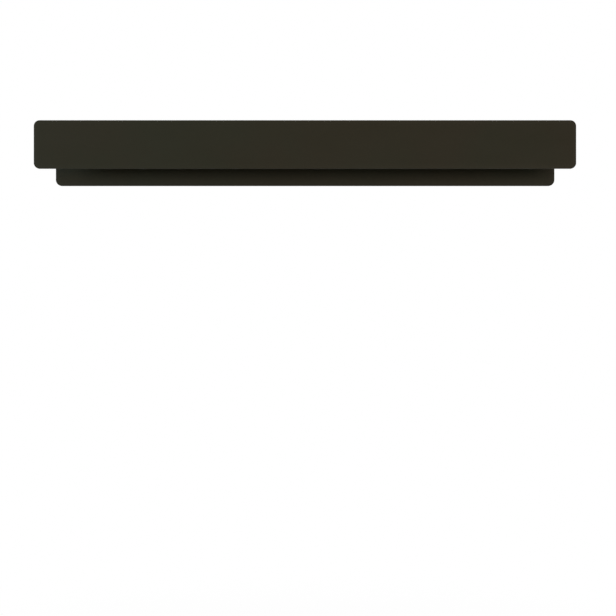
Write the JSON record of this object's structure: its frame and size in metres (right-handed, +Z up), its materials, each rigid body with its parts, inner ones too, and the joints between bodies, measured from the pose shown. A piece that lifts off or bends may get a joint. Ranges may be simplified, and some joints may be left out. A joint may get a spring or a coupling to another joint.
{
  "type": "wall coat rack",
  "caption": "Wall coat rack in dark powder-coated sheet steel: a flat front panel hides a row of mushroom-headed coat pegs, under a shallow open tray, hung on keyholes.",
  "frame": {"origin": "on the wall plane, midway along the rack, level with the seats of the two keyholes", "axes": "+X to the right along the rack as seen from the room, +Y into the wall, +Z up"},
  "size_m": [0.84, 0.09, 0.09],
  "materials": {
    "powder_coat": "matt fine-textured powder coat, dark olive black",
    "peg_coat": "satin powder coat on turned steel, dark olive black",
    "zinc": "bright zinc plating"
  },
  "bodies": {
    "root": {"back_plate": "powder_coat", "shelf": "powder_coat", "front_panel": "powder_coat", "panel_studs": "zinc", "panel_nuts": "zinc", "shelf_clinch_nuts": "zinc", "shelf_screws": "zinc", "peg_1": "peg_coat", "peg_2": "peg_coat", "peg_3": "peg_coat", "peg_4": "peg_coat", "peg_5": "peg_coat", "peg_6": "peg_coat", "peg_screws": "zinc"}
  },
  "joints": []
}
